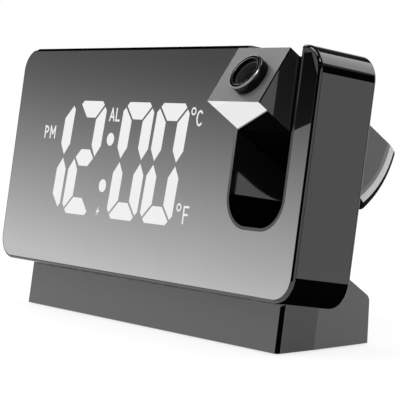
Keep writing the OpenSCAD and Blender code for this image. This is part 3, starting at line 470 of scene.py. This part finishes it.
# How far the mirror's painted reflection leans to one side, and how it gathers towards the lower
# edge
MIRROR_SIDE_SHIFT = 0.06
MIRROR_CURVE = 1.5


def lit_finish(name, light):
    """Light guides, lit evenly from behind."""
    return finish(
        name, GUIDE_COLOUR, GUIDE_ROUGHNESS, marks=0.02,
        Emission_Color=(*light, 1.0), Emission_Strength=1.0,
    )


# The guides as they look unlit
GUIDE_COLOUR = (0.02, 0.02, 0.02)
GUIDE_ROUGHNESS = 0.4


def glass_finish(name, tint, roughness):
    """Clear or tinted acrylic."""
    return finish(
        name, tint, roughness, grain=(700.0, 0.01), mottling=0.02, marks=0.01,
        Transmission_Weight=1.0, IOR=ACRYLIC,
    )


# Refractive index
ACRYLIC = 1.49


def make_finishes(look):
    return {
        "gloss_black": finish("gloss_black", look.case_black, 0.06, grain=(500.0, 0.03),
                              marks=0.04, IOR=1.66),
        # Painted shade: the same black with its reflection taken out, so that roundings and the
        # slot look dark
        "deep_black_and_painted_shade": finish("deep_black_and_painted_shade", look.deep_black_and_painted_shade, 0.08, grain=(500.0, 0.03),
                             IOR=1.5, Specular_IOR_Level=0.0),
        "arm_black": finish("arm_black", look.deep_black_and_painted_shade, 0.06, grain=(500.0, 0.03), marks=0.04,
                            IOR=1.95),
        # Under the head this plating shows the mirror's brighter painted reflection colour
        "arm_underside": finish("arm_underside", look.underside, 0.03, grain=(500.0, 0.01),
                                marks=0.01, mottling=0.02, Metallic=1.0),
        # Painted shade, highlight and sheen of the tail, and the stand's painted highlight line
        "tail_black_and_painted_shade": finish("tail_black_and_painted_shade", look.tail_black_and_painted_shade, 0.3, Specular_IOR_Level=0.0),
        "painted_highlight_edge": finish("painted_highlight_edge", look.painted_highlight_edge, 0.3),
        "tail_painted_sheen": finish("tail_painted_sheen", look.tail_painted_sheen, 0.2),
        # Painted highlight on the focus ring's front edges
        "ring_rim_painted_highlight": finish("ring_rim_painted_highlight", look.ring_rim_painted_highlight, 0.22, grain=(600.0, 0.03), Metallic=1.0),
        "stand_black": finish("stand_black", look.stand_black, 0.1, grain=(500.0, 0.05),
                              marks=0.05, IOR=1.75),
        # The mirror panel with its painted reflection
        "mirror_face": mirror_with_painted_reflection("mirror_face", look.mirror_top_painted_reflection, look.mirror_bottom_painted_reflection,
                                     look.mirror_painted_reflection),
        "display_white": lit_finish("display_white", look.display_white),
        "white_reflector": finish("white_reflector", (0.8, 0.8, 0.78), 0.5, grain=(1200.0, 0.2)),
        "circuit_board": finish("circuit_board", (0.012, 0.12, 0.05), 0.35, mottling=0.3),
        "board_part": finish("board_part", (0.03, 0.03, 0.032), 0.42, grain=(2200.0, 0.4)),
        "bright_metal": finish("bright_metal", (0.72, 0.72, 0.74), 0.2, Metallic=1.0),
        "screw_steel": finish("screw_steel", (0.5, 0.5, 0.52), 0.3, grain=(3000.0, 0.3),
                              Metallic=1.0),
        "button_black": finish("button_black", (0.02, 0.02, 0.021), 0.34, grain=(2600.0, 0.5)),
        "speaker_paper": finish("speaker_paper", (0.05, 0.046, 0.042), 0.8, grain=(1500.0, 1.0)),
        "magnet_steel": finish("magnet_steel", (0.3, 0.3, 0.32), 0.45, grain=(1800.0, 0.5),
                               Metallic=1.0),
        "lens_face_grey": finish("lens_face_grey", look.lens_face, 0.34, grain=(1600.0, 0.15)),
        "ring_black": finish("ring_black", (0.002, 0.002, 0.002), 0.07, grain=(600.0, 0.03),
                             IOR=1.5, Specular_IOR_Level=0.1),
        "clear_lens": glass_finish("clear_lens", (0.85, 0.9, 0.93), 0.0),
        "image_film": glass_finish("image_film", (0.3, 0.36, 0.42), 0.08),
        "led_red": finish("led_red", (0.6, 0.02, 0.02), 0.15, Transmission_Weight=0.4),
        "led_warm": finish("led_warm", (0.85, 0.75, 0.4), 0.4),
        "friction_pad": finish("friction_pad", (0.6, 0.58, 0.53), 0.55),
        "foot_rubber": finish("foot_rubber", (0.018, 0.018, 0.018), 0.75, grain=(1800.0, 1.0)),
        "hub_plastic": finish("hub_plastic", (0.045, 0.045, 0.05), 0.4, grain=(1500.0, 0.4)),
    }


SLOT_OF = {part["node"]: part["material_slot"] for part in frame["record"]["subparts"]}
FINISHES = {}
# Nodes whose gloss black is a finish of its own
OWN_FINISH = {"stand_shell": "stand_black", "arm_shell": "arm_black"}


def material_of(node):
    """A node's own finish, or that of its slot."""
    return FINISHES[OWN_FINISH.get(node, SLOT_OF[node])]


# ---- Operators ----


class CLOCK_OT_finishes(bpy.types.Operator):
    """Give every node of the clock its finish"""

    bl_idname = "clock.finishes"
    bl_label = "Finishes"

    def execute(self, context):
        FINISHES.update(make_finishes(context.scene.clock_finish))
        for name, node in NODES.items():
            node.data.materials.clear()
            node.data.materials.append(material_of(name))
        return {"FINISHED"}


class CLOCK_OT_case(bpy.types.Operator):
    """Finish the case and its rear cover, with painted shade: black with no reflection on the
    slot's floor and right wall and on the rounded edges
    """

    bl_idname = "clock.case"
    bl_label = "Case"

    def execute(self, context):
        axes = case_axes()
        up = axes[2]
        low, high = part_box("front_housing")
        arm_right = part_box("arm_shell")[1].x

        def painted_shade_faces(normal, middle):
            """Painted shade: the slot's floor and right wall, and every rounding but the upper ones
            at the sides.
            """
            if normal.dot(up) > FLAT:
                return middle.z < high.z - SLOT_BAND
            if arm_right < middle.x < high.x - SLOT_BAND and normal.x < -FLAT:
                return True
            curved = max(abs(normal.dot(axis)) for axis in axes) < FLAT
            turned = abs(normal.dot(axes[1])) > BROKEN
            if turned and (abs(normal.x) > MOSTLY or normal.dot(up) < -BROKEN):
                return False
            shoulder = (normal.dot(up) > LOOKS_UP
                        and min(middle.x - low.x, high.x - middle.x) < SHOULDER)
            return curved and not shoulder

        for node in ("front_housing", "rear_cover"):
            rounded_copy(node, 0.0, parts=[("deep_black_and_painted_shade", painted_shade_faces)])
        return {"FINISHED"}


# Roundings that look up at least this much, this near the case's sides, keep the gloss
LOOKS_UP = 0.3
SHOULDER = 12 * MM
# The slot keeps at least this far from the case's side and top
SLOT_BAND = 5 * MM


class CLOCK_OT_panel(bpy.types.Operator):
    """Break the outer edge of the mirror panel, so that it catches the light"""

    bl_idname = "clock.panel"
    bl_label = "Mirror panel"

    def execute(self, context):
        low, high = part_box("mirror_panel")
        arm_low, arm_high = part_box("arm_shell")

        def outer(point):
            """Near the panel's outline, and clear of the slot's open top."""
            near = min(point.x - low.x, high.x - point.x, point.z - low.z, high.z - point.z)
            over_slot = arm_low.x < point.x < arm_high.x and point.z > (low.z + high.z) / 2
            return near < PANEL_BAND and not over_slot

        rounded_copy("mirror_panel", context.scene.clock_edges.panel_edge, segments=2, keep=outer)
        return {"FINISHED"}


# The panel's outline lies within this of its box
PANEL_BAND = 3 * MM


class CLOCK_OT_arm(bpy.types.Operator):
    """Round the edges of the projector arm and its face plate, with painted shade on the arm inside
    the slot and on the plate's side lines, and a painted sheen, highlight and shade round the tail
    """

    bl_idname = "clock.arm"
    bl_label = "Projector arm"

    def execute(self, context):
        edges = context.scene.clock_edges
        low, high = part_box("arm_shell")

        def outer(point):
            return min(point.x - low.x, high.x - point.x) < edges.arm_edge

        ahead = facing("arm_face", LENS_WAY)
        below = ACROSS.cross(ahead)
        front = case_axes()[1]
        back = -front
        mirror_plane = (front, reach("mirror_panel", front))
        rear_plane = (back, reach("rear_cover", back))

        def past(plane, middle):
            way, limit = plane
            return middle.dot(way) > limit

        def head_under(normal, middle):
            return past(mirror_plane, middle) and normal.dot(below) > MOSTLY

        def painted_slot_shade(normal, middle):
            """Painted shade: everything but the top, between the mirror and the rear cover."""
            between = not past(mirror_plane, middle) and not past(rear_plane, middle)
            return between and normal.dot(below) > -MOSTLY

        # The tail's end takes painted shade, and its rounded flank a painted sheen and a painted
        # highlight
        def tail_end(normal, middle):
            return past(rear_plane, middle) and abs(normal.x) < TURNED[2]

        def head_side(normal, middle):
            return past(mirror_plane, middle) and abs(normal.x) > MOSTLY

        def tail_soft(normal, middle):
            return past(rear_plane, middle) and TURNED[1] < abs(normal.x) < TURNED[0]

        def tail_light(normal, middle):
            return past(rear_plane, middle) and TURNED[2] < abs(normal.x) < TURNED[1]

        rounded_copy(
            "arm_shell", edges.arm_edge, keep=outer, cuts=(mirror_plane, rear_plane),
            parts=[("arm_underside", head_under), ("gloss_black", head_side),
                   ("deep_black_and_painted_shade", painted_slot_shade), ("tail_painted_sheen", tail_soft), ("painted_highlight_edge", tail_light),
                   ("tail_black_and_painted_shade", tail_end)],
        )

        def plate_under(normal, middle):
            return normal.dot(below) > HALF

        line_plane = (ahead, reach("arm_face", ahead) - edges.painted_plate_line)

        def painted_plate_line(normal, middle):
            """Painted shade line: the front part of the plate's two sides."""
            return abs(normal.x) > BROKEN and past(line_plane, middle)

        def plate_side(normal, middle):
            return abs(normal.x) > BROKEN

        rounded_copy("arm_face", edges.face_edge, cuts=(line_plane,),
                     parts=[("arm_underside", plate_under), ("deep_black_and_painted_shade", painted_plate_line),
                            ("gloss_black", plate_side)])
        return {"FINISHED"}


# Where the tail's rounded flank takes its painted sheen, painted highlight and painted shade:
# cosines of its turn from the side
TURNED = (0.9997, 0.99, 0.90)


class CLOCK_OT_focus(bpy.types.Operator):
    """Round the edges of the focus ring and the lens cell"""

    bl_idname = "clock.focus"
    bl_label = "Focus ring"

    def execute(self, context):
        edges = context.scene.clock_edges
        ahead = facing("arm_face", LENS_WAY)

        def rim(normal, middle):
            """The broken edges round the front of the ring, which take a painted highlight."""
            return RIM_SLOPE < normal.dot(ahead) < FLAT

        rounded_copy("focus_ring", edges.ring_edge, parts=[("ring_rim_painted_highlight", rim)])
        rounded_copy("lens_cell", edges.ring_edge / 2)
        return {"FINISHED"}


# The ring's broken edges look ahead at least this much
RIM_SLOPE = 0.2


class CLOCK_OT_stand(bpy.types.Operator):
    """Round the edges of the stand"""
    # Round the edges of the stand, with a painted highlight along the front of its top and painted
    # shade on its front corners and sides

    bl_idname = "clock.stand"
    bl_label = "Stand"

    def execute(self, context):
        _, front, up = case_axes()

        def corner(normal, middle):
            """Painted shade: the rounded upright corners at the front."""
            return abs(normal.dot(up)) < BROKEN and CORNER[0] < abs(normal.x) < CORNER[1]

        def top_edge(normal, middle):
            """Painted highlight: the chamfer along the front of the top."""
            return normal.dot(front) > CHAMFER and normal.dot(up) > CHAMFER

        def side(normal, middle):
            """Painted shade: the flat front part of the sides, in the case's darker black."""
            return abs(normal.x) > FLAT

        rounded_copy("stand_shell", context.scene.clock_edges.stand_edge,
                     parts=[("painted_highlight_edge", top_edge), ("deep_black_and_painted_shade", corner),
                            ("gloss_black", side)])
        return {"FINISHED"}


# How far a chamfer's face turns from its neighbours, and an upright corner's from the side
CHAMFER = 0.3
CORNER = (0.15, 0.98)


class CLOCK_OT_keys(bpy.types.Operator):
    """Round the edges of the snooze bar, the rear keys and the battery door"""

    bl_idname = "clock.keys"
    bl_label = "Keys"

    def execute(self, context):
        radius = context.scene.clock_edges.key_edge
        for node in KEYS:
            rounded_copy(node, radius)
        return {"FINISHED"}


KEYS = ("snooze_bar", "set_button", "alarm_button", "up_button", "down_button",
        "projector_button", "cell_door")


# ---- Studio ----

FLOOR_SIZE = 6.0
FLOOR_COLOUR = (0.9, 0.9, 0.9)
# The camera's sensor in millimetres, and how near and far it sees
SENSOR_WIDTH = 36.0
CLIP = (0.01, 100.0)
# The camera turns about the case's front lower edge, as it stands over the table
AIM = Vector((0.0, -26.483 * MM, 0.5 * MM))
# Lamp: name, place, size and power, all aimed at the middle of the clock
LAMPS = (
    ("key", (-0.6, -1.0, 1.2), 0.9, 12.0),
    ("left", (-1.21, 0.17, 0.87), 0.7, 5.0),
    ("right", (0.88, -0.78, 1.22), 0.5, 6.0),
    ("back", (0.334, 1.015, 1.02), 1.0, 8.0),
)


def plain_floor():
    """A pale table top, seen as near white."""
    bm = bmesh.new()
    bmesh.ops.create_grid(bm, x_segments=1, y_segments=1, size=FLOOR_SIZE / 2)
    mesh = bpy.data.meshes.new("floor")
    bm.to_mesh(mesh)
    bm.free()
    floor = bpy.data.objects.new("floor", mesh)
    bpy.context.scene.collection.objects.link(floor)
    material = bpy.data.materials.new("pale_floor")
    material.use_nodes = True
    nodes, links = material.node_tree.nodes, material.node_tree.links
    nodes.clear()
    out = nodes.new("ShaderNodeOutputMaterial")
    mix = nodes.new("ShaderNodeMixShader")
    dull = nodes.new("ShaderNodeBsdfDiffuse")
    dull.inputs["Color"].default_value = (*FLOOR_COLOUR, 1.0)
    white = nodes.new("ShaderNodeEmission")
    place = nodes.new("ShaderNodeTexCoord")
    away = nodes.new("ShaderNodeVectorMath")
    away.operation = "LENGTH"
    links.new(place.outputs["Object"], away.inputs[0])
    share = nodes.new("ShaderNodeMapRange")
    share.interpolation_type = "SMOOTHSTEP"
    for label, value in zip(("From Min", "From Max", "To Min", "To Max"),
                            (*FLOOR_FADE, FLOOR_WHITE_SHARE, 1.0)):
        share.inputs[label].default_value = value
    links.new(away.outputs["Value"], share.inputs["Value"])
    links.new(seen_directly(nodes, links, share.outputs[0]), mix.inputs["Fac"])
    links.new(dull.outputs[0], mix.inputs[1])
    links.new(white.outputs[0], mix.inputs[2])
    links.new(mix.outputs[0], out.inputs["Surface"])
    mesh.materials.append(material)


# Share of plain white near the clock, where the floor keeps its shadow, and the distances over
# which it becomes all white
FLOOR_WHITE_SHARE = 0.75
FLOOR_FADE = (0.15, 0.4)


def seen_directly(nodes, links, share):
    """Share for rays from the camera, from gloss and through glass; nought for other rays."""
    path = nodes.new("ShaderNodeLightPath")
    total = path.outputs["Is Camera Ray"]
    for label in ("Is Glossy Ray", "Is Transmission Ray"):
        both = nodes.new("ShaderNodeMath")
        both.operation = "MAXIMUM"
        links.new(total, both.inputs[0])
        links.new(path.outputs[label], both.inputs[1])
        total = both.outputs[0]
    scaled = nodes.new("ShaderNodeMath")
    scaled.operation = "MULTIPLY"
    if isinstance(share, float):
        scaled.inputs[1].default_value = share
    else:
        links.new(share, scaled.inputs[1])
    links.new(total, scaled.inputs[0])
    return scaled.outputs[0]


def soft_sky(strength):
    """Soft light from all sides, seen as a white backdrop."""
    world = bpy.data.worlds.new("soft_sky")
    bpy.context.scene.world = world
    world.use_nodes = True
    nodes, links = world.node_tree.nodes, world.node_tree.links
    nodes.clear()
    out = nodes.new("ShaderNodeOutputWorld")
    mix = nodes.new("ShaderNodeMixShader")
    soft = nodes.new("ShaderNodeBackground")
    soft.inputs["Color"].default_value = (1.0, 1.0, 1.0, 1.0)
    soft.inputs["Strength"].default_value = strength
    # White around the horizon, where the backdrop stands, and dark overhead
    white = nodes.new("ShaderNodeBackground")
    way = nodes.new("ShaderNodeTexCoord")
    axes = nodes.new("ShaderNodeSeparateXYZ")
    links.new(way.outputs["Generated"], axes.inputs[0])
    fade = nodes.new("ShaderNodeMapRange")
    fade.interpolation_type = "SMOOTHSTEP"
    fade.inputs["From Min"].default_value = BACKDROP_TOP[0]
    fade.inputs["From Max"].default_value = BACKDROP_TOP[1]
    fade.inputs["To Min"].default_value = 1.0
    fade.inputs["To Max"].default_value = OVERHEAD
    links.new(axes.outputs["Z"], fade.inputs["Value"])
    links.new(fade.outputs[0], white.inputs["Color"])
    links.new(seen_directly(nodes, links, 1.0), mix.inputs["Fac"])
    links.new(soft.outputs[0], mix.inputs[1])
    links.new(white.outputs[0], mix.inputs[2])
    links.new(mix.outputs[0], out.inputs["Surface"])


# The white backdrop fades between these heights, as sines of the angle above the horizon, to
# this brightness overhead
BACKDROP_TOP = (0.22, 0.45)
OVERHEAD = 0.03


def lamp(name, place, size, power, target):
    """A square lamp, aimed at the target."""
    light = bpy.data.lights.new(name, "AREA")
    light.shape = "SQUARE"
    light.size = size
    light.energy = power
    lamp_object = bpy.data.objects.new(name, light)
    lamp_object.location = place
    lamp_object.rotation_euler = (target - Vector(place)).to_track_quat("-Z", "Y").to_euler()
    bpy.context.scene.collection.objects.link(lamp_object)


def camera(studio):
    """Looks at the clock from the studio's angles, shifted sideways and up in its own view."""
    a, e, roll = studio.azimuth, studio.elevation, studio.roll
    back = Vector((math.sin(a) * math.cos(e), -math.cos(a) * math.cos(e), math.sin(e)))
    right = (-back).cross(Vector((0.0, 0.0, 1.0))).normalized()
    up = right.cross(-back)
    turned_right = right * math.cos(roll) + up * math.sin(roll)
    turned_up = up * math.cos(roll) - right * math.sin(roll)
    place = (AIM + back * studio.distance + turned_right * studio.slide
             + turned_up * studio.rise)
    data = bpy.data.cameras.new("camera")
    data.lens = studio.focal
    data.sensor_width = SENSOR_WIDTH
    data.clip_start, data.clip_end = CLIP
    holder = bpy.data.objects.new("camera", data)
    axes = Matrix((turned_right, turned_up, back)).transposed().to_4x4()
    holder.matrix_world = Matrix.Translation(place) @ axes
    bpy.context.scene.collection.objects.link(holder)
    bpy.context.scene.camera = holder


class CLOCK_OT_stage(bpy.types.Operator):
    """Set up the floor, the lights and the camera"""

    bl_idname = "clock.stage"
    bl_label = "Studio"

    def execute(self, context):
        studio = context.scene.clock_studio
        context.scene.view_settings.view_transform = "Standard"
        low, high = CAD_BOX
        middle = (low + high) / 2
        plain_floor()
        soft_sky(studio.sky)
        for name, place, size, power in LAMPS:
            lamp(name, place, size, power, middle)
        camera(studio)
        return {"FINISHED"}


class CLOCK_PT_sidebar(bpy.types.Panel):
    """The clock's steps and sizes"""

    bl_label = "Projection alarm clock"
    bl_idname = "CLOCK_PT_sidebar"
    bl_space_type = "VIEW_3D"
    bl_region_type = "UI"
    bl_category = "Clock"

    def draw(self, context):
        for step in STEPS:
            self.layout.operator(step.bl_idname)
        for group in (context.scene.clock_finish, context.scene.clock_edges,
                      context.scene.clock_studio):
            box = self.layout.box()
            for name in group.bl_rna.properties.keys():
                if name not in {"rna_type", "name"}:
                    box.prop(group, name)


STEPS = (CLOCK_OT_finishes, CLOCK_OT_case, CLOCK_OT_panel, CLOCK_OT_arm, CLOCK_OT_focus,
         CLOCK_OT_stand, CLOCK_OT_keys, CLOCK_OT_stage)
GROUPS = {"clock_finish": ClockFinish, "clock_edges": ClockEdges, "clock_studio": ClockStudio}


def register():
    for group in GROUPS.values():
        bpy.utils.register_class(group)
    for step in (*STEPS, CLOCK_PT_sidebar):
        bpy.utils.register_class(step)
    for name, group in GROUPS.items():
        setattr(bpy.types.Scene, name, bpy.props.PointerProperty(type=group))


def unregister():
    for name in GROUPS:
        delattr(bpy.types.Scene, name)
    for step in (CLOCK_PT_sidebar, *reversed(STEPS)):
        bpy.utils.unregister_class(step)
    for group in GROUPS.values():
        bpy.utils.unregister_class(group)


def main():
    register()
    for step in STEPS:
        getattr(bpy.ops.clock, step.bl_idname.split(".")[1])()


if __name__ == "__main__":
    main()
